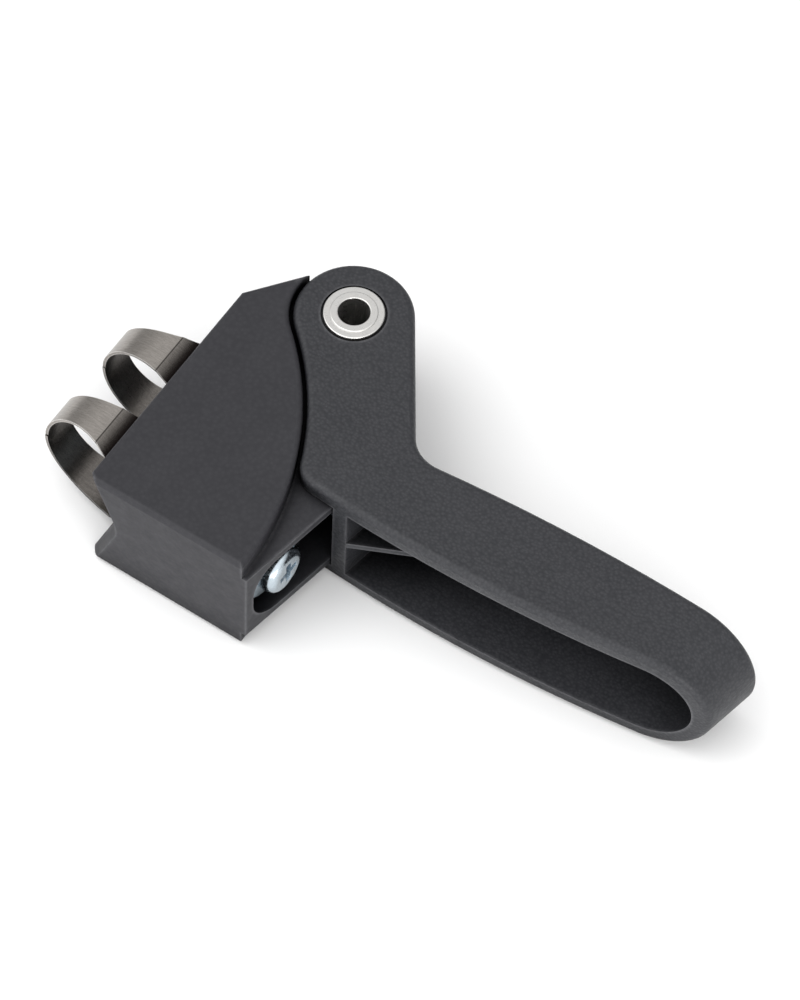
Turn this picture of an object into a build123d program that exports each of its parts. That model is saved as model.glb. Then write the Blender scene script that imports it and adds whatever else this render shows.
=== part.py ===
from build123d import *
import math
import os

# Clamp-on brake lever, millimetres.
# Origin: on the axis of the tube it clamps to, level with the middle between the two screws,
# in the lever's mid-plane.
# +Y runs along the tube towards the pivot, +X towards the lever's tip, +Z along the pivot's axis.

# Tube and clamp band
TUBE_R = 10.0  # 20 mm tube with the band drawn in; let right out it takes a 22.2 mm tube
BAND_T = 0.6  # spring steel strip
BAND_Y = 1.4  # middle of the band, a little off the middle between the screws
BAND_HALF_ROOT = 16.0  # half width of the band where it enters the housing on the root side
FINGER_TIP = (5.8, 12.6)  # from BAND_Y to the inner and outer edge of a finger, at the far side of the tube
FINGER_MID = (5.1, 14.0)  # the same beside the tube
FINGER_NECK = (4.3, 15.8)  # the same where the finger enters the housing
SLOT_END = 7.2  # X where the slot between the fingers ends on the root side
CREASE_X = 2.15  # X of the crease on the finger side
NECK_X = 9.0  # X where the strip turns straight into the housing
NECK_Z = 7.0  # half the inside width of the neck
NECK_BEND_R = 1.0
CLAMP_TRAVEL = 3.0  # how far the two screws let the band out from here
SHAPE_MARGIN = 1.0  # the outlines that trim the strip run past it by this

# Clamp hardware
SCREW_R = 2.5  # M5
SCREW_Y = 10.2  # screws stand at +- this
SCREW_LENGTH = 28.0  # under the head
HEAD_R = 5.0
HEAD_H = 3.7
HEAD_CROWN = 1.6
DRIVE_LENGTH = 5.2  # cross recess
DRIVE_SLOT = 1.5
DRIVE_DEPTH = 2.2
DRIVE_TAPER = 8.0
WASHER_R = 7.5
WASHER_T = 1.2
WASHER_EDGE_R = 0.3
THREAD_CLEARANCE = 0.05  # radial, screw in the nut plate
SCREW_CLEARANCE = 0.2  # radial, screw in washer, band and housing
NUT_PLATE_TUBE_GAP = 0.4  # between the tube and the nut plate when the band is let right out
NUT_PLATE_T = 3.0
NUT_PLATE_SHORT = 0.2  # shorter than half the band's root by this at each end
NUT_PLATE_GAP_Z = 0.2  # between the plate's sides and the neck
LAYER_GAP = 0.05  # between nut plate and finger flange
HOOK_GAP = 0.1  # between finger flange and root hook
FLANGE_END_Z = -5.5
HOOK_END_Z = -3.4

# Housing
HOUSING_W = 26.5
BACK_X = 6.15
BOTTOM_Y = -21.0
BACK_TOP_Y = 28.5  # upper end of the straight back edge
CORE_HALF_Z = 9.45
CORE_FRONT_X = 41.25  # front face of the core at the bottom end
CORE_FRONT_TILT = 10.0  # degrees, the front face leans forward towards the pivot
CORE_TOP_OFFSET = 8.2  # core's upper edge, measured from the pivot square to the lever's arm
CORE_BOSS_R = 10.4
SEAT_R = 12.0  # concave edge of the side plates round the lever's eye
SEAT_START = 167.0  # degrees, upper end of that edge
SWEEP_X = -23.25  # centre of the long convex edge, which ends square to the bottom face
EDGE_R = 1.0
SADDLE_HALF_Z = 12.3
SADDLE_X = 10.95  # bottom of the V saddle
SADDLE_ROUND = 4.0
SADDLE_CHAMFER = 1.8  # at the saddle's lower end
RECESS_MOUTH_X = 9.2  # the recess flares from here to the back
RECESS_CLEARANCE = 0.4
RECESS_END_GAP = 0.25
POCKET_X = 38.3  # floor of the screw pocket
POCKET_HALF_Z = 7.7
POCKET_LOW_Y = -19.1
POCKET_HIGH_Y = 18.1
POCKET_R = 6.3

# Pivot
PIVOT_X = 25.9
PIVOT_Y = 36.3
RIVET_R = 4.0
RIVET_BORE_R = 3.0
RIVET_CLEARANCE = 0.05
RIVET_FLANGE_R = 5.75
RIVET_FLANGE_T = 1.0
RIVET_WASHER_T = 0.8
RIVET_LIP_R = 4.5
RIVET_LIP_T = 0.25
RIVET_EDGE_R = 0.6  # rounding of the rolled head's rim
RIVET_LIP_EDGE_R = 0.2
RIVET_WASHER_EDGE_R = 0.2
RIVET_ROLL_R = 0.7  # rounding of the bore's mouth in the rolled head
RIVET_PLAY = 0.1  # along the axis, under each flange
COUNTERBORE_R = 6.2
COUNTERBORE_DEPTH = 0.5

# Lever
LEVER_W = 26.0
EYE_R = 11.3
ARM_ANGLE = -56.0  # degrees from +X, direction of the arm's outer edge away from the pivot
ARM_WALL = 2.5
BEND_R = 7.5
CROWN = (100.8, 19.7)  # highest point of the outer face, a wide arc
CROWN_R = 400.0
BELLY = (60.75, 0.3)  # lowest point of the underside, a wide arc
BELLY_R = 340.0
TIP_X = 125.95  # end of the outer face
TIP_OVERRUN = 8.0  # the side outline runs on by this, and the nose trims it
TIP_SLANT = 11.4  # degrees, the outer face reaches further than the underside
HEEL_R = 5.0
FORK_GAP = 0.35  # each side of the core
HANDLE_ROOF = 3.0
WEB_GAP = 0.35  # in front of the core
WEB_T = 3.1
EYE_OPEN_R = 12.5  # no outer wall this near the pivot
GUSSET_T = 1.4
GUSSET_ANGLE = 25.6
LEVER_EDGE_R = 1.3
SLACK = 60.0  # length of cutting shapes beyond the part


def unit(angle):
    return (math.cos(math.radians(angle)), math.sin(math.radians(angle)))


def along(point, angle, distance):
    direction = unit(angle)
    return (point[0] + distance * direction[0], point[1] + distance * direction[1])


def crossing(point_a, angle_a, point_b, angle_b):
    """Where the line through point_a at angle_a meets the line through point_b at angle_b."""
    a = unit(angle_a)
    b = unit(angle_b)
    offset = (point_b[0] - point_a[0], point_b[1] - point_a[1])
    step = (offset[0] * b[1] - offset[1] * b[0]) / (a[0] * b[1] - a[1] * b[0])
    return along(point_a, angle_a, step)


def first_on_circle(point, angle, centre, radius):
    """Where the line that comes in from point, outside the circle, first meets it."""
    direction = unit(angle)
    offset = (point[0] - centre[0], point[1] - centre[1])
    nearest = offset[0] * direction[0] + offset[1] * direction[1]
    depth = math.sqrt(nearest**2 - math.hypot(*offset) ** 2 + radius**2)
    return along(point, angle, -nearest - depth)


def circles_cross(centre_a, radius_a, centre_b, radius_b):
    """Where two circles cross, on the right-hand side of the way from centre_a to centre_b."""
    distance = math.dist(centre_a, centre_b)
    angle = math.degrees(math.atan2(centre_b[1] - centre_a[1], centre_b[0] - centre_a[0]))
    reach = (radius_a**2 - radius_b**2 + distance**2) / (2 * distance)
    return along(along(centre_a, angle, reach), angle - 90.0, math.sqrt(radius_a**2 - reach**2))


PIVOT = (PIVOT_X, PIVOT_Y)
SWEEP = (SWEEP_X, BOTTOM_Y)
SEAT_TO_SWEEP = math.dist(PIVOT, SWEEP)
SWEEP_R = SEAT_TO_SWEEP - SEAT_R
SWEEP_ANGLE = math.degrees(math.atan2(PIVOT_Y - BOTTOM_Y, PIVOT_X - SWEEP_X))
LEVER_SWEEP_R = SEAT_TO_SWEEP - EYE_R
ARM_NORMAL = ARM_ANGLE + 90.0
FRONT_ANGLE = 90.0 - CORE_FRONT_TILT
FORK_HALF_Z = CORE_HALF_Z + FORK_GAP
LEVER_HALF_Z = LEVER_W / 2
HOUSING_HALF_Z = HOUSING_W / 2
NUT_PLATE_X = TUBE_R + NUT_PLATE_TUBE_GAP + CLAMP_TRAVEL
FLANGE_X = NUT_PLATE_X + NUT_PLATE_T + LAYER_GAP
HOOK_X = FLANGE_X + BAND_T + HOOK_GAP
RECESS_X = HOOK_X + BAND_T + RECESS_END_GAP
RECESS_HALF_Z = NECK_Z + BAND_T + RECESS_CLEARANCE
RECESS_HALF_Y = BAND_HALF_ROOT + BAND_Y + RECESS_END_GAP
NUT_PLATE_HALF_Y = BAND_HALF_ROOT - NUT_PLATE_SHORT
SCREW_HOLE_R = SCREW_R + SCREW_CLEARANCE
HEAD_X = POCKET_X + WASHER_T
SCREW_TIP_X = HEAD_X - SCREW_LENGTH
CROWN_CENTRE = (CROWN[0], CROWN[1] - CROWN_R)
BELLY_CENTRE = (BELLY[0], BELLY[1] + BELLY_R)
ROOF_R = CROWN_R - HANDLE_ROOF

os.makedirs("parts", exist_ok=True)


def save(builder, name):
    builder.part.label = name
    export_step(builder.part, f"parts/{name}.step")


# Housing: two side plates, and between and beyond them a narrower core that the lever's fork straddles
seat_end = along(PIVOT, SWEEP_ANGLE + 180.0, SEAT_R)
seat_start = along(PIVOT, SEAT_START, SEAT_R)
plate_front = (SWEEP_X + SWEEP_R, BOTTOM_Y)
core_low = (CORE_FRONT_X, BOTTOM_Y)
core_top_edge = along(PIVOT, ARM_NORMAL, CORE_TOP_OFFSET)
core_corner = crossing(core_low, FRONT_ANGLE, core_top_edge, ARM_ANGLE)
saddle_reach = SADDLE_HALF_Z * (SADDLE_X - BACK_X + SLACK) / (SADDLE_X - BACK_X)
saddle_corners = ((BACK_X - SLACK, saddle_reach), (SADDLE_X, 0), (BACK_X - SLACK, -saddle_reach))

with BuildPart() as housing:
    with BuildSketch(Plane.XY.offset(-HOUSING_HALF_Z)):
        with BuildLine():
            Line((BACK_X, BOTTOM_Y), (BACK_X, BACK_TOP_Y))
            Line((BACK_X, BACK_TOP_Y), seat_start)
            CenterArc(PIVOT, SEAT_R, SEAT_START, SWEEP_ANGLE + 180.0 - SEAT_START)
            CenterArc(SWEEP, SWEEP_R, 0.0, SWEEP_ANGLE)
            Line(plate_front, (BACK_X, BOTTOM_Y))
        make_face()
    extrude(amount=HOUSING_W)
    fillet(housing.edges().group_by(Axis.Z)[-1], EDGE_R)
    fillet(housing.edges().group_by(Axis.Z)[0], EDGE_R)
    with BuildSketch(Plane.XY.offset(-CORE_HALF_Z)):
        with BuildLine():
            Polyline(
                (SADDLE_X, BOTTOM_Y),
                core_low,
                core_corner,
                core_top_edge,
                PIVOT,
                seat_start,
                (SADDLE_X, BACK_TOP_Y),
                close=True,
            )
        make_face()
        with Locations(PIVOT):
            Circle(CORE_BOSS_R)
    extrude(amount=2 * CORE_HALF_Z)
    # V saddle for the tube, along the whole back
    with BuildSketch(Plane.XZ.offset(-BOTTOM_Y)):
        with BuildLine():
            Polyline(*saddle_corners, close=True)
        saddle = make_face()
        fillet(saddle.vertices().sort_by(Axis.X)[-1], SADDLE_ROUND)
    extrude(amount=-SLACK, mode=Mode.SUBTRACT)
    # the saddle's lower end is chamfered
    with BuildSketch(Plane.XZ.offset(-BOTTOM_Y)):
        with BuildLine():
            Polyline(*saddle_corners, close=True)
        make_face()
        saddle_mouth = offset(amount=SADDLE_CHAMFER, kind=Kind.INTERSECTION)
        fillet(saddle_mouth.vertices().sort_by(Axis.X)[-1], SADDLE_ROUND + SADDLE_CHAMFER)
    extrude(amount=-SADDLE_CHAMFER, taper=45.0, mode=Mode.SUBTRACT)
    # recess for the nut plate and the band's flanges, its mouth flared for the band
    with BuildSketch(Plane.XZ.offset(RECESS_HALF_Y)):
        with BuildLine():
            Polyline(
                (BACK_X, SADDLE_HALF_Z),
                (RECESS_MOUTH_X, RECESS_HALF_Z),
                (RECESS_X, RECESS_HALF_Z),
                (RECESS_X, -RECESS_HALF_Z),
                (RECESS_MOUTH_X, -RECESS_HALF_Z),
                (BACK_X, -SADDLE_HALF_Z),
                close=True,
            )
        make_face()
    extrude(amount=-2 * RECESS_HALF_Y, mode=Mode.SUBTRACT)
    # screw pocket in the front face, and the two screw bores
    with BuildSketch(Plane.YZ.offset(POCKET_X)):
        with Locations(((POCKET_LOW_Y + POCKET_HIGH_Y) / 2, 0)):
            RectangleRounded(POCKET_HIGH_Y - POCKET_LOW_Y, 2 * POCKET_HALF_Z, POCKET_R)
    extrude(amount=SLACK, mode=Mode.SUBTRACT)
    with BuildSketch(Plane.YZ.offset(RECESS_X)):
        with Locations((-SCREW_Y, 0), (SCREW_Y, 0)):
            Circle(SCREW_HOLE_R)
    extrude(amount=POCKET_X - RECESS_X, mode=Mode.SUBTRACT)
    with BuildSketch(Plane.XY.offset(-CORE_HALF_Z)):
        with Locations(PIVOT):
            Circle(RIVET_R + RIVET_CLEARANCE)
    extrude(amount=2 * CORE_HALF_Z, mode=Mode.SUBTRACT)

save(housing, "housing")


# Lever: a fork round the rivet, an arm along the housing's curved edge, and a hollow handle
arm_start = along(PIVOT, ARM_NORMAL, EYE_R)
handle_top = first_on_circle(arm_start, ARM_ANGLE, CROWN_CENTRE, CROWN_R)
heel = circles_cross(SWEEP, LEVER_SWEEP_R, BELLY_CENTRE, BELLY_R)
heel_angle = math.degrees(math.atan2(heel[1] - BOTTOM_Y, heel[0] - SWEEP_X))
end_x = TIP_X + TIP_OVERRUN


def crown_at(x, radius):
    """The point at x on the arc of this radius about the crown's centre."""
    return (x, CROWN_CENTRE[1] + math.sqrt(radius**2 - (x - CROWN[0]) ** 2))


def belly_at(x):
    return (x, BELLY_CENTRE[1] - math.sqrt(BELLY_R**2 - (x - BELLY[0]) ** 2))


tip_top = crown_at(TIP_X, CROWN_R)
tip_angle = 90.0 - TIP_SLANT
web_low = along(core_low, -CORE_FRONT_TILT, WEB_GAP)
web_high = along(core_low, -CORE_FRONT_TILT, WEB_GAP + WEB_T)
arm_wall = along(PIVOT, ARM_NORMAL, EYE_R - ARM_WALL)
fork_corner = crossing(web_low, FRONT_ANGLE, arm_wall, ARM_ANGLE)
above_web = along(web_high, FRONT_ANGLE, SLACK)
below_web = along(web_high, FRONT_ANGLE, -SLACK)
cavity_corner = first_on_circle(above_web, FRONT_ANGLE + 180.0, CROWN_CENTRE, ROOF_R)
web_foot = first_on_circle(below_web, FRONT_ANGLE, BELLY_CENTRE, BELLY_R)
beyond_gusset = along(web_foot, GUSSET_ANGLE, 2 * SLACK)
gusset_end = first_on_circle(beyond_gusset, GUSSET_ANGLE + 180.0, CROWN_CENTRE, ROOF_R)
nose_middle = along(tip_top, 180.0 - TIP_SLANT, LEVER_HALF_Z)
nose_plane = Plane(origin=(*nose_middle, 0), x_dir=(*unit(-TIP_SLANT), 0), z_dir=(*unit(tip_angle), 0))

with BuildPart() as cavity:
    with BuildSketch(Plane.XY.offset(-FORK_HALF_Z)):
        with BuildLine():
            roof = ThreePointArc(cavity_corner, crown_at(TIP_X, ROOF_R), crown_at(end_x, ROOF_R))
            Polyline(roof @ 1, (TIP_X + SLACK, BOTTOM_Y - SLACK), below_web, cavity_corner)
        make_face()
    extrude(amount=2 * FORK_HALF_Z)
    with BuildSketch(nose_plane.offset(-SLACK)):
        Circle(FORK_HALF_Z)
        with Locations((-SLACK, 0)):
            Rectangle(2 * SLACK, 2 * FORK_HALF_Z)
    extrude(amount=2 * SLACK, mode=Mode.INTERSECT)

with BuildPart() as lever:
    with BuildSketch(Plane.XY.offset(-LEVER_HALF_Z)) as lever_side:
        with BuildLine():
            CenterArc(PIVOT, EYE_R, ARM_NORMAL, SWEEP_ANGLE + 180.0 - ARM_NORMAL)
            Line(arm_start, handle_top)
            top = ThreePointArc(handle_top, tip_top, crown_at(end_x, CROWN_R))
            low = ThreePointArc(belly_at(end_x), belly_at(TIP_X), heel)
            Line(top @ 1, low @ 0)
            CenterArc(SWEEP, LEVER_SWEEP_R, heel_angle, SWEEP_ANGLE - heel_angle)
        make_face()
        fillet(lever_side.vertices().sort_by_distance(handle_top)[0], BEND_R)
        fillet(lever_side.vertices().sort_by_distance(heel)[0], HEEL_R)
    extrude(amount=LEVER_W)
    with BuildSketch(nose_plane.offset(-SLACK)):
        Circle(LEVER_HALF_Z)
        with Locations((-2 * SLACK, 0)):
            Rectangle(4 * SLACK, LEVER_W)
    extrude(amount=2 * SLACK, mode=Mode.INTERSECT)
    rims = lever.edges().group_by(Axis.Z)[-1] + lever.edges().group_by(Axis.Z)[0]
    nose_seams = rims.filter_by(Axis((0, 0, 0), (*unit(tip_angle), 0)))
    fillet(rims - nose_seams + lever.edges().filter_by(GeomType.ELLIPSE), LEVER_EDGE_R)
    with BuildSketch(Plane.XY.offset(-FORK_HALF_Z)):
        with BuildLine():
            Polyline(
                fork_corner,
                along(web_low, FRONT_ANGLE, -SLACK),
                (-SLACK, BOTTOM_Y - SLACK),
                (-SLACK, PIVOT_Y + SLACK),
                along(arm_wall, ARM_ANGLE, -SLACK),
                close=True,
            )
        make_face()
        with Locations(PIVOT):
            Circle(EYE_OPEN_R)
    extrude(amount=2 * FORK_HALF_Z, mode=Mode.SUBTRACT)
    add(cavity.part, mode=Mode.SUBTRACT)
    with BuildSketch(Plane.XY.offset(-GUSSET_T / 2)):
        with BuildLine():
            Polyline(
                web_foot,
                gusset_end,
                along(gusset_end, 90.0, HANDLE_ROOF / 2),
                along(cavity_corner, 90.0, HANDLE_ROOF / 2),
                cavity_corner,
                close=True,
            )
        make_face()
    extrude(amount=GUSSET_T)
    with BuildSketch(Plane.XY.offset(-LEVER_HALF_Z)):
        with Locations(PIVOT):
            Circle(RIVET_R + RIVET_CLEARANCE)
    extrude(amount=LEVER_W, mode=Mode.SUBTRACT)
    for side in (-1, 1):
        with BuildSketch(Plane.XY.offset(side * LEVER_HALF_Z)):
            with Locations(PIVOT):
                Circle(COUNTERBORE_R)
        extrude(amount=-side * COUNTERBORE_DEPTH, mode=Mode.SUBTRACT)

save(lever, "lever")


# Tubular rivet: rolled head on the root side, a washer and the flared end of the tube on the finger side
seat_z = LEVER_HALF_Z - COUNTERBORE_DEPTH + RIVET_PLAY
washer_top = seat_z + RIVET_WASHER_T

with BuildPart() as rivet:
    with BuildSketch(Plane.XY.offset(-seat_z)):
        with Locations(PIVOT):
            Circle(RIVET_R)
    extrude(amount=seat_z + washer_top)
    with BuildSketch(Plane.XY.offset(-seat_z)):
        with Locations(PIVOT):
            Circle(RIVET_FLANGE_R)
    extrude(amount=-RIVET_FLANGE_T)
    with BuildSketch(Plane.XY.offset(washer_top)):
        with Locations(PIVOT):
            Circle(RIVET_LIP_R)
    extrude(amount=RIVET_LIP_T)
    head_edge = rivet.faces().sort_by(Axis.Z)[0].edges()
    fillet(head_edge, RIVET_EDGE_R)
    with BuildSketch(Plane.XY.offset(-SLACK)):
        with Locations(PIVOT):
            Circle(RIVET_BORE_R)
    extrude(amount=2 * SLACK, mode=Mode.SUBTRACT)
    fillet(rivet.faces().sort_by(Axis.Z)[0].edges().sort_by(SortBy.LENGTH)[0], RIVET_ROLL_R)
    fillet(rivet.faces().sort_by(Axis.Z)[-1].edges(), RIVET_LIP_EDGE_R)

save(rivet, "rivet")

with BuildPart() as rivet_washer:
    with BuildSketch(Plane.XY.offset(seat_z)):
        with Locations(PIVOT):
            Circle(RIVET_FLANGE_R)
            Circle(RIVET_R + RIVET_CLEARANCE, mode=Mode.SUBTRACT)
    extrude(amount=RIVET_WASHER_T)
    fillet(rivet_washer.faces().sort_by(Axis.Z)[-1].edges().sort_by(SortBy.LENGTH)[-1], RIVET_WASHER_EDGE_R)

save(rivet_washer, "rivet_washer")


# Clamp band: one steel strip round the tube, two fingers on the +Z side, one wide root on the -Z side
def tangent_angle(point, radius):
    """Direction, from the centre, in which a line from point touches the circle, going counter-clockwise."""
    reach = math.acos(radius / math.hypot(*point))
    return math.degrees(math.atan2(point[1], point[0]) + reach)


neck = (NECK_X, NECK_Z)
neck_touch = tangent_angle(neck, TUBE_R)
crease = crossing(neck, neck_touch + 90.0, (CREASE_X, 0), 90.0)
crease_touch = tangent_angle(crease, TUBE_R)
touch_finger = along((0, 0), crease_touch, TUBE_R)
touch_root = along((0, 0), -neck_touch, TUBE_R)
far_side = -(TUBE_R + BAND_T + SHAPE_MARGIN)
hook_end_x = HOOK_X + BAND_T + SHAPE_MARGIN
shape_height = TUBE_R + BAND_T + SHAPE_MARGIN
band_plane = Plane.XY.shift_origin((0, BAND_Y, 0))

with BuildPart() as finger_shape:
    with BuildSketch(band_plane.offset(FLANGE_END_Z - SHAPE_MARGIN)):
        for side in (-1, 1):
            with BuildLine():
                inner = ThreePointArc(
                    (far_side, side * FINGER_TIP[0]),
                    (CREASE_X, side * FINGER_MID[0]),
                    (BACK_X, side * FINGER_NECK[0]),
                )
                outer = ThreePointArc(
                    (far_side, side * FINGER_TIP[1]),
                    (CREASE_X, side * FINGER_MID[1]),
                    (BACK_X, side * FINGER_NECK[1]),
                )
                Line(inner @ 0, outer @ 0)
                neck_inner = (hook_end_x, side * FINGER_NECK[0])
                neck_outer = (hook_end_x, side * FINGER_NECK[1])
                Polyline(inner @ 1, neck_inner, neck_outer, outer @ 1)
            make_face()
    extrude(amount=shape_height - FLANGE_END_Z + SHAPE_MARGIN)

with BuildPart() as root_shape:
    with BuildSketch(band_plane):
        with BuildLine():
            upper = ThreePointArc((far_side, FINGER_TIP[1]), (0, FINGER_MID[1]), (BACK_X, BAND_HALF_ROOT))
            lower = ThreePointArc((far_side, -FINGER_TIP[1]), (0, -FINGER_MID[1]), (BACK_X, -BAND_HALF_ROOT))
            Line(upper @ 0, lower @ 0)
            Polyline(upper @ 1, (hook_end_x, BAND_HALF_ROOT), (hook_end_x, -BAND_HALF_ROOT), lower @ 1)
        make_face()
        slot_middle = SLOT_END - FINGER_MID[0]
        with Locations((slot_middle, 0)):
            Circle(FINGER_MID[0], mode=Mode.SUBTRACT)
        with BuildLine():
            Polyline(
                (slot_middle, FINGER_MID[0]),
                (far_side, FINGER_TIP[0]),
                (far_side, -FINGER_TIP[0]),
                (slot_middle, -FINGER_MID[0]),
                close=True,
            )
        make_face(mode=Mode.SUBTRACT)
    extrude(amount=-shape_height)

with BuildPart() as finger_strip:
    with BuildSketch(Plane.XZ.offset(BAND_HALF_ROOT - BAND_Y)):
        with BuildLine():
            FilletPolyline((FLANGE_X, FLANGE_END_Z), (FLANGE_X, NECK_Z), neck, crease, radius=NECK_BEND_R)
            Line(crease, touch_finger)
            CenterArc((0, 0), TUBE_R, crease_touch, 180.0 - crease_touch)
            offset(amount=BAND_T, side=Side.RIGHT, kind=Kind.INTERSECTION)
        make_face()
    extrude(amount=-2 * BAND_HALF_ROOT)
    add(finger_shape.part, mode=Mode.INTERSECT)

with BuildPart() as root_strip:
    with BuildSketch(Plane.XZ.offset(BAND_HALF_ROOT - BAND_Y)):
        with BuildLine():
            hook = ((HOOK_X, HOOK_END_Z), (HOOK_X, -NECK_Z), (NECK_X, -NECK_Z))
            FilletPolyline(*hook, touch_root, radius=NECK_BEND_R)
            CenterArc((0, 0), TUBE_R, -neck_touch, neck_touch - 180.0)
            offset(amount=BAND_T, side=Side.LEFT)
        make_face()
    extrude(amount=-2 * BAND_HALF_ROOT)
    add(root_shape.part, mode=Mode.INTERSECT)

with BuildPart() as clamp_band:
    add(finger_strip.part)
    add(root_strip.part)
    with BuildSketch(Plane.YZ.offset(FLANGE_X - LAYER_GAP)):
        with Locations((-SCREW_Y, 0), (SCREW_Y, 0)):
            Circle(SCREW_HOLE_R)
    extrude(amount=BAND_T + 2 * LAYER_GAP, mode=Mode.SUBTRACT)

save(clamp_band, "clamp_band")


# Nut plate, which the screws draw towards their heads
with BuildPart() as nut_plate:
    with BuildSketch(Plane.YZ.offset(NUT_PLATE_X)):
        Rectangle(2 * NUT_PLATE_HALF_Y, 2 * (NECK_Z - NUT_PLATE_GAP_Z))
        with Locations((-SCREW_Y, 0), (SCREW_Y, 0)):
            Circle(SCREW_R + THREAD_CLEARANCE, mode=Mode.SUBTRACT)
    extrude(amount=NUT_PLATE_T)
    fillet(nut_plate.faces().sort_by(Axis.X)[-1].edges().filter_by(Axis.Y), NECK_BEND_R)

save(nut_plate, "nut_plate")


# Washers and pan-head screws
for name, screw_y in (("lower", -SCREW_Y), ("upper", SCREW_Y)):
    with BuildPart() as washer:
        with BuildSketch(Plane.YZ.offset(POCKET_X)):
            with Locations((screw_y, 0)):
                Circle(WASHER_R)
                Circle(SCREW_HOLE_R, mode=Mode.SUBTRACT)
        extrude(amount=WASHER_T)
        fillet(washer.faces().sort_by(Axis.X)[-1].edges().sort_by(SortBy.LENGTH)[-1], WASHER_EDGE_R)
    save(washer, f"washer_{name}")

    with BuildPart() as screw:
        with BuildSketch(Plane.YZ.offset(SCREW_TIP_X)):
            with Locations((screw_y, 0)):
                Circle(SCREW_R)
        extrude(amount=HEAD_X - SCREW_TIP_X)
        with BuildSketch(Plane.YZ.offset(HEAD_X)):
            with Locations((screw_y, 0)):
                Circle(HEAD_R)
        extrude(amount=HEAD_H)
        fillet(screw.faces().sort_by(Axis.X)[-1].edges(), HEAD_CROWN)
        with BuildSketch(Plane.YZ.offset(HEAD_X + HEAD_H)):
            with Locations((screw_y, 0)):
                Rectangle(DRIVE_LENGTH, DRIVE_SLOT)
                Rectangle(DRIVE_SLOT, DRIVE_LENGTH)
        extrude(amount=-DRIVE_DEPTH, taper=DRIVE_TAPER, mode=Mode.SUBTRACT)
    save(screw, f"screw_{name}")
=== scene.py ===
import bpy
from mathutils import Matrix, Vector


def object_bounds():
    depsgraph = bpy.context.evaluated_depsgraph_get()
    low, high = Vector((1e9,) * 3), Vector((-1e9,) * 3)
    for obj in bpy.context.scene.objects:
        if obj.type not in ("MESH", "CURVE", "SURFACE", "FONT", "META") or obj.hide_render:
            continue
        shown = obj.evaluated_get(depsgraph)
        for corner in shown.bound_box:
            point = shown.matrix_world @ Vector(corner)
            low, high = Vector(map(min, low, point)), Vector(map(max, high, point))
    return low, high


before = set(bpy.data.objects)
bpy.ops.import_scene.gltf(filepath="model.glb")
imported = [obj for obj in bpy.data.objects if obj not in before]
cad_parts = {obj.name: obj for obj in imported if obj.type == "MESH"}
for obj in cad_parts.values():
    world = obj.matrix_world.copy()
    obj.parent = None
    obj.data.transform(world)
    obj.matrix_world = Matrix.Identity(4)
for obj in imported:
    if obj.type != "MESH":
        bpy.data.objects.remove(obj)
cad_box = [list(corner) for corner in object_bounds()]

MM = 0.001

# Camera: about 60 degrees above the floor, with a long lens
CAMERA_AT = Vector((0.3470, -0.4724, 0.8947))
CAMERA_LOOKS_AT = Vector((0.0448, -0.0364, -0.01325))
FRAME_WIDTH = 36.0  # mm
FOCAL_LENGTH = 128.3  # mm
ZOOM = 1.62
SHIFT = (0.1863, 0.2155)  # to centre the part in the frame
NEAREST_SEEN = 0.05
FARTHEST_SEEN = 20.0

# Floor
FLOOR_SIZE = 6.0
FLOOR_COLOUR = (0.92, 0.92, 0.92)
FLOOR_ROUGHNESS = 0.85

# Soft boxes: name, place, width and height, watts
LIGHTS_AIM = Vector((0.04, 0.0, 0.0))
LIGHTS = (
    ("key", (-0.6, -0.3, 1.4), (1.1, 0.9), 5.0),
    ("front", (0.3, -1.3, 0.30), (1.4, 0.5), 2.5),
    ("pocket", (0.75, -0.55, 0.12), (0.35, 0.25), 1.6),
)

# Studio room: bright on one side, darker on the other
BRIGHT_SIDE = Vector((0.1, -0.75, 0.65))
ROOM_BRIGHT = 1.55
ROOM_DARK = 0.42
ROOM_FADE = (-0.35, 0.75)  # cosines to the bright side between which the room goes from dark to bright

# Colours, linear
# Black is the painted shade in the plastic's hollows
PLASTIC_SHADE_BLACK = (0.0, 0.0, 0.0)
WHITE = (1.0, 1.0, 1.0)
HOUSING_COLOUR = (0.0215, 0.0212, 0.0250)
LEVER_COLOUR = (0.0220, 0.0228, 0.0262)
# A paler plastic colour: random clouds and flecks, and the painted highlight on edges
PLASTIC_PALE_AND_HIGHLIGHT = (0.095, 0.095, 0.102)
PLASTIC_DUST = (0.080, 0.080, 0.084)
# For each metal: its colour; a second colour for random mottle and for the painted shade in hollows; a
# painted highlight colour for edges
STEEL_COLOUR = (0.360, 0.335, 0.310)
STEEL_MOTTLE_AND_SHADE = (0.016, 0.013, 0.012)
STEEL_EDGE_HIGHLIGHT = (0.850, 0.830, 0.800)
ALUMINIUM_COLOUR = (0.620, 0.615, 0.600)
ALUMINIUM_MOTTLE_AND_SHADE = (0.740, 0.710, 0.680)
ALUMINIUM_EDGE_HIGHLIGHT = (0.800, 0.800, 0.780)
ZINC_COLOUR = (0.520, 0.590, 0.640)
ZINC_MOTTLE_AND_SHADE = (0.240, 0.270, 0.300)
ZINC_EDGE_HIGHLIGHT = (0.800, 0.840, 0.880)

# How a grain is stretched
EVEN = (1.0, 1.0, 1.0)
ALONG_TUBE_LINES = (1.0, 6.0, 1.0)

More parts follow.
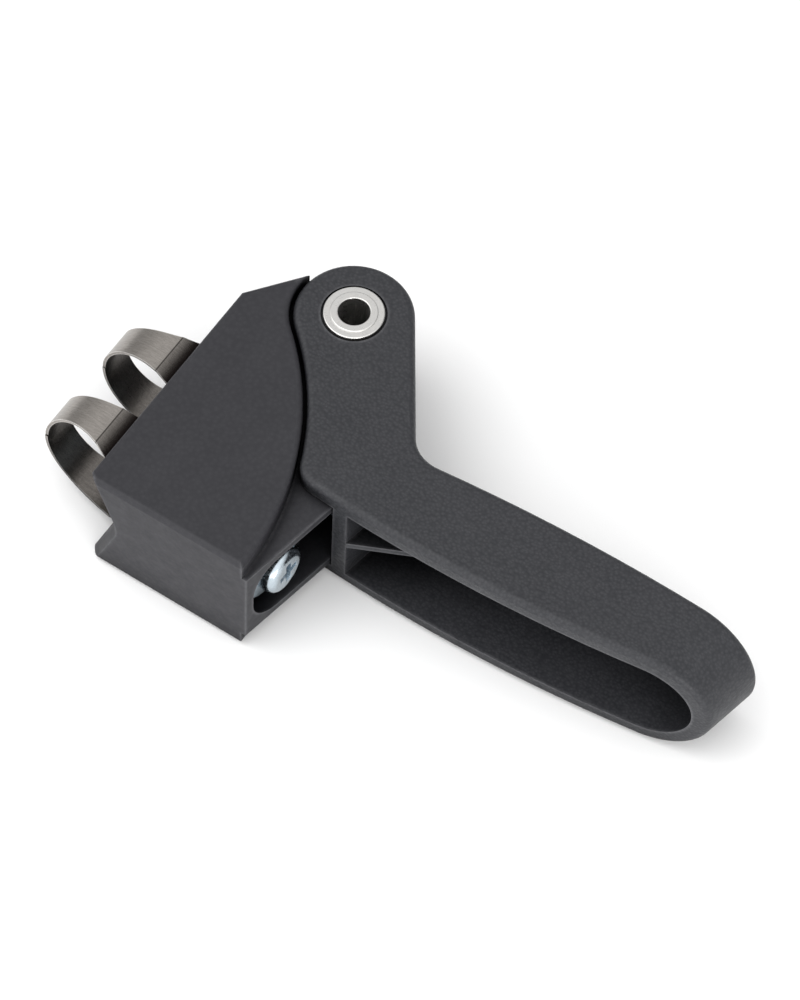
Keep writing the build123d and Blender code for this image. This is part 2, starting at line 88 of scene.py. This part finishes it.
# Grains: size in mm, detail, roughness
# The first grain breaks up the painted highlight on the plastic's edges
PLASTIC_HIGHLIGHT_BREAKUP_GRAIN = (1.6, 4.0, 0.7)
PLASTIC_DUST_GRAIN = (0.5, 5.0, 0.75)
PLASTIC_CLOUD_GRAIN = (9.0, 4.0, 0.5)
PLASTIC_GLOSS_GRAIN = (3.0, 5.0, 0.6)
PLASTIC_FINE_GRAIN = (0.22, 2.0, 0.5)
METAL_MOTTLE_GRAIN = (1.8, 4.0, 0.6)
METAL_GLOSS_GRAIN = (0.5, 4.0, 0.6)
METAL_FINE_GRAIN = (0.16, 3.0, 0.6)
METAL_DENT_DETAIL = (2.0, 0.5)
MIDDLE = (0.3, 0.7)  # the part of a grain's values that is spread over the whole range

# Moulded plastic
PLASTIC_SHINE = 0.27
# Painted highlight on the plastic's rounded edges
PLASTIC_EDGE_ROUND = 1.0  # mm
PLASTIC_EDGE_BEND = (0.004, 0.08)
PLASTIC_EDGE_HIGHLIGHT_STRENGTH = 0.9
PLASTIC_HIGHLIGHT_BREAKUP_RANGE = (0.25, 0.7)
PLASTIC_HIGHLIGHT_BREAKUP_LEAST = 0.2
PLASTIC_DUST_RANGE = (0.66, 0.80)
PLASTIC_DUST_MOST = 0.35
PLASTIC_CLOUD_MOST = 0.05
PLASTIC_FLECK_RANGE = (0.1, 0.7)
PLASTIC_GLOSS_SPREAD = (-0.06, 0.08)
PLASTIC_FINE_DEPTH = 0.010  # mm
# Painted shade: the plastic's colour is darkened towards black deep in hollows, and its shine is cut there
PLASTIC_SHADE_REACH = 14.0  # mm, how far a hollow is felt
PLASTIC_SHADE_RANGE = (0.20, 0.80)
PLASTIC_SHADE_LEAST = 0.08
CELL_SMOOTHNESS = 0.6

# Metal
METAL_MOTTLE_MOST = 0.30
# Painted highlight on the metals' edges
METAL_EDGE_ROUND = 0.25  # mm
METAL_EDGE_BEND = (0.02, 0.2)
METAL_GLOSS_SPREAD = (-0.05, 0.09)
METAL_FINE_DEPTH = 0.0035  # mm
METAL_DENT_DEPTH = 0.02  # mm
# Strength of the painted shade along the band's bend
CREASE_SHADE_STRENGTH = 0.85
# Painted shade in the metals' hollows
ALUMINIUM_SHADE_RANGE = (0.02, 0.35)  # how open the dark end and the bright end are
STEEL_SHADE_RANGE = (0.66, 0.93)
ZINC_SHADE_RANGE = (0.0, 0.30)
SMALL_PART_SHADE_REACH = 4.0  # mm, how far a hollow is felt
BAND_SHADE_REACH = 18.0  # mm
# Painted shade: a dark line along the band's bend
BAND_CREASE = (2.1, 0.22, 5.0)  # mm: where the strip is bent, half the line's width, and from what height

EDGE_SAMPLES = 6
SKY_SAMPLES = 8


def opaque(colour):
    return (*colour, 1.0)


class Graph:
    """A material's nodes, added one at a time. An input is a constant or another node's output."""

    def __init__(self, name):
        self.material = bpy.data.materials.new(name)
        self.material.use_nodes = True
        self.tree = self.material.node_tree
        self.tree.nodes.clear()

    def add(self, kind, output=0, settings=None, **inputs):
        """Adds a node. An input goes by its name, with _ for a space, or by its number, as in _0."""
        node = self.tree.nodes.new("ShaderNode" + kind)
        for name, value in (settings or {}).items():
            setattr(node, name, value)
        for name, value in inputs.items():
            number = name[1:]
            socket = node.inputs[int(number) if number.isdigit() else name.replace("_", " ")]
            if isinstance(value, bpy.types.NodeSocket):
                self.tree.links.new(value, socket)
            else:
                socket.default_value = value
        return node.outputs[output]

    def finish(self, **inputs):
        surface = self.add("BsdfPrincipled", **inputs)
        node = self.tree.nodes.new("ShaderNodeOutputMaterial")
        self.tree.links.new(surface, node.inputs["Surface"])
        return self.material

    def place(self, stretch=EVEN):
        return self.add("Mapping", _0=self.add("TexCoord", output="Object"), Scale=stretch)

    def noise(self, size_mm, detail, roughness, stretch=EVEN):
        return self.add(
            "TexNoise",
            output="Fac",
            Vector=self.place(stretch),
            Scale=1.0 / (size_mm * MM),
            Detail=detail,
            Roughness=roughness,
        )

    def cells(self, size_mm):
        return self.add(
            "TexVoronoi",
            output="Distance",
            settings={"feature": "SMOOTH_F1"},
            Vector=self.place(),
            Scale=1.0 / (size_mm * MM),
            Smoothness=CELL_SMOOTHNESS,
        )

    def remap(self, value, low, high, to_low=0.0, to_high=1.0):
        return self.add("MapRange", _0=value, _1=low, _2=high, _3=to_low, _4=to_high)

    def math(self, operation, a, b=0.0):
        return self.add("Math", settings={"operation": operation}, _0=a, _1=b)

    def mix(self, factor, colour_a, colour_b):
        settings = {"data_type": "RGBA"}
        return self.add("Mix", output=2, settings=settings, _0=factor, _6=colour_a, _7=colour_b)

    def edges(self, round_mm, low, high):
        """1 on edges that stand out, 0 on flat faces; the mask for the painted edge highlights."""
        rounded = self.add("Bevel", settings={"samples": EDGE_SAMPLES}, Radius=round_mm * MM)
        flat = self.add("NewGeometry", output="Normal")
        settings = {"operation": "DOT_PRODUCT"}
        cosine = self.add("VectorMath", output="Value", settings=settings, _0=rounded, _1=flat)
        return self.remap(cosine, 1.0 - low, 1.0 - high)

    def line_across_x(self, x_mm, half_width_mm, above_z_mm):
        """1 on a thin line at x, only above the height z."""
        x = self.add("SeparateXYZ", Vector=self.place())
        z = x.node.outputs["Z"]
        off = self.math("ABSOLUTE", self.math("SUBTRACT", x, x_mm * MM))
        near = self.remap(off, half_width_mm * MM, half_width_mm * MM / 3)
        return self.math("MULTIPLY", near, self.math("GREATER_THAN", z, above_z_mm * MM))

    def open_sky(self, shade_reach_mm):
        """1 in the open, towards 0 deep in a hollow; the mask for the painted shade in hollows."""
        settings = {"samples": SKY_SAMPLES}
        return self.add("AmbientOcclusion", output="AO", settings=settings, Distance=shade_reach_mm * MM)

    def bump(self, height, depth_mm, over=None):
        inputs = {"Height": height, "Distance": depth_mm * MM, "Strength": 1.0}
        if over is not None:
            inputs["Normal"] = over
        return self.add("Bump", **inputs)


def plastic(name, colour, cell_mm, cell_depth_mm, fleck, roughness):
    g = Graph(name)
    # Painted highlight: a paler colour on rounded edges, broken up by a grain
    highlight_breakup = g.remap(g.noise(*PLASTIC_HIGHLIGHT_BREAKUP_GRAIN), *PLASTIC_HIGHLIGHT_BREAKUP_RANGE, to_low=PLASTIC_HIGHLIGHT_BREAKUP_LEAST)
    edge_highlight = g.math("MULTIPLY", g.edges(PLASTIC_EDGE_ROUND, *PLASTIC_EDGE_BEND), highlight_breakup)
    dust = g.remap(g.noise(*PLASTIC_DUST_GRAIN), *PLASTIC_DUST_RANGE, to_high=PLASTIC_DUST_MOST)
    cloud = g.remap(g.noise(*PLASTIC_CLOUD_GRAIN), *MIDDLE, to_high=PLASTIC_CLOUD_MOST)
    pits = g.cells(cell_mm)
    flecks = g.remap(pits, *PLASTIC_FLECK_RANGE, to_low=fleck, to_high=0.0)

    tone = g.mix(cloud, opaque(colour), opaque(PLASTIC_PALE_AND_HIGHLIGHT))
    tone = g.mix(flecks, tone, opaque(PLASTIC_PALE_AND_HIGHLIGHT))
    tone = g.mix(dust, tone, opaque(PLASTIC_DUST))
    tone = g.mix(g.math("MULTIPLY", edge_highlight, PLASTIC_EDGE_HIGHLIGHT_STRENGTH), tone, opaque(PLASTIC_PALE_AND_HIGHLIGHT))
    # Painted shade: the colour goes towards black deep in hollows
    unshaded = g.remap(g.open_sky(PLASTIC_SHADE_REACH), *PLASTIC_SHADE_RANGE, to_low=PLASTIC_SHADE_LEAST)
    tone = g.mix(unshaded, opaque(PLASTIC_SHADE_BLACK), tone)

    gloss = g.noise(*PLASTIC_GLOSS_GRAIN)
    grain = g.bump(g.noise(*PLASTIC_FINE_GRAIN), PLASTIC_FINE_DEPTH)
    return g.finish(
        Base_Color=tone,
        Roughness=g.remap(gloss, *MIDDLE, *(roughness + s for s in PLASTIC_GLOSS_SPREAD)),
        # Painted shade: less shine deep in hollows
        Specular_IOR_Level=g.math("MULTIPLY", unshaded, PLASTIC_SHINE),
        Normal=g.bump(pits, cell_depth_mm, over=grain),
    )


def metal(name, colours, roughness, dent_mm, shade_reach_mm, hollow, streak=EVEN, crease=None):
    colour, mottle_and_shade, edge_glint = (opaque(c) for c in colours)
    g = Graph(name)
    # Painted shade: mask for darkening the colour in hollows
    unshaded = g.remap(g.open_sky(shade_reach_mm), *hollow)
    mottle = g.remap(g.noise(*METAL_MOTTLE_GRAIN, streak), *MIDDLE, to_high=METAL_MOTTLE_MOST)

    tone = g.mix(mottle, colour, mottle_and_shade)
    # Painted highlight: a lighter colour on sharp edges
    tone = g.mix(g.edges(METAL_EDGE_ROUND, *METAL_EDGE_BEND), tone, edge_glint)
    # Painted shade along the bend
    if crease:
        line = g.math("MULTIPLY", g.line_across_x(*crease), CREASE_SHADE_STRENGTH)
        tone = g.mix(line, tone, mottle_and_shade)
    # Painted shade: the colour goes towards the second colour deep in hollows
    tone = g.mix(unshaded, mottle_and_shade, tone)

    gloss = g.noise(*METAL_GLOSS_GRAIN, streak)
    fine = g.bump(g.noise(*METAL_FINE_GRAIN, streak), METAL_FINE_DEPTH)
    return g.finish(
        Base_Color=tone,
        Metallic=1.0,
        Roughness=g.remap(gloss, *MIDDLE, *(roughness + s for s in METAL_GLOSS_SPREAD)),
        Normal=g.bump(g.noise(dent_mm, *METAL_DENT_DETAIL), METAL_DENT_DEPTH, over=fine),
    )


def dress(material, *names):
    for name in names:
        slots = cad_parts[name].data.materials
        slots.clear()
        slots.append(material)


ALUMINIUM = (ALUMINIUM_COLOUR, ALUMINIUM_MOTTLE_AND_SHADE, ALUMINIUM_EDGE_HIGHLIGHT)
STEEL = (STEEL_COLOUR, STEEL_MOTTLE_AND_SHADE, STEEL_EDGE_HIGHLIGHT)
ZINC = (ZINC_COLOUR, ZINC_MOTTLE_AND_SHADE, ZINC_EDGE_HIGHLIGHT)

housing_plastic = plastic(
    "housing_plastic", HOUSING_COLOUR, cell_mm=0.9, cell_depth_mm=0.015, fleck=0.08, roughness=0.50
)
lever_plastic = plastic(
    "lever_plastic", LEVER_COLOUR, cell_mm=0.60, cell_depth_mm=0.060, fleck=0.20, roughness=0.45
)
rivet_metal = metal(
    "rivet_metal", ALUMINIUM, roughness=0.30, dent_mm=2.0, shade_reach_mm=SMALL_PART_SHADE_REACH, hollow=ALUMINIUM_SHADE_RANGE
)
spring_steel = metal(
    "spring_steel",
    STEEL,
    roughness=0.30,
    dent_mm=3.0,
    shade_reach_mm=BAND_SHADE_REACH,
    hollow=STEEL_SHADE_RANGE,
    streak=ALONG_TUBE_LINES,
    crease=BAND_CREASE,
)
washer_zinc = metal(
    "washer_zinc", ZINC, roughness=0.46, dent_mm=6.0, shade_reach_mm=SMALL_PART_SHADE_REACH, hollow=ZINC_SHADE_RANGE
)
zinc_steel = metal(
    "zinc_steel", ZINC, roughness=0.22, dent_mm=2.4, shade_reach_mm=SMALL_PART_SHADE_REACH, hollow=ZINC_SHADE_RANGE
)
dress(housing_plastic, "housing")
dress(lever_plastic, "lever")
dress(rivet_metal, "rivet", "rivet_washer")
dress(spring_steel, "clamp_band")
dress(zinc_steel, "nut_plate", "screw_lower", "screw_upper")
dress(washer_zinc, "washer_lower", "washer_upper")


# Floor
low_z = cad_box[0][2]
bpy.ops.mesh.primitive_plane_add(size=FLOOR_SIZE, location=(0, 0, low_z))
floor = bpy.context.object
floor.name = "floor"
paint = Graph("floor_paint")
floor.data.materials.append(paint.finish(Base_Color=opaque(FLOOR_COLOUR), Roughness=FLOOR_ROUGHNESS))


def hang(thing, at, aim):
    """Puts a camera or a light in the scene, at a place and turned to a point."""
    holder = bpy.data.objects.new(thing.name, thing)
    bpy.context.scene.collection.objects.link(holder)
    holder.location = at
    holder.rotation_euler = (aim - Vector(at)).to_track_quat("-Z", "Y").to_euler()
    return holder


# Camera
lens = bpy.data.cameras.new("camera")
lens.lens = FOCAL_LENGTH * ZOOM
lens.sensor_width = FRAME_WIDTH
lens.clip_start = NEAREST_SEEN
lens.clip_end = FARTHEST_SEEN
lens.shift_x, lens.shift_y = SHIFT
bpy.context.scene.camera = hang(lens, CAMERA_AT, CAMERA_LOOKS_AT)

# Lights
for name, at, size, watts in LIGHTS:
    light = bpy.data.lights.new(name, "AREA")
    light.shape = "RECTANGLE"
    light.size, light.size_y = size
    light.energy = watts
    hang(light, at, LIGHTS_AIM)

# Room
world = bpy.data.worlds.new("studio")
world.use_nodes = True
room = world.node_tree
background = room.nodes["Background"]
direction = room.nodes.new("ShaderNodeTexCoord")
facing = room.nodes.new("ShaderNodeVectorMath")
facing.operation = "DOT_PRODUCT"
facing.inputs[1].default_value = BRIGHT_SIDE.normalized()
room.links.new(direction.outputs["Generated"], facing.inputs[0])
fade = room.nodes.new("ShaderNodeMapRange")
fade.interpolation_type = "SMOOTHSTEP"
for number, value in enumerate((*ROOM_FADE, ROOM_DARK, ROOM_BRIGHT), start=1):
    fade.inputs[number].default_value = value
room.links.new(facing.outputs["Value"], fade.inputs[0])
room.links.new(fade.outputs[0], background.inputs["Strength"])
background.inputs["Color"].default_value = opaque(WHITE)
bpy.context.scene.world = world
bpy.context.scene.view_settings.view_transform = "Standard"
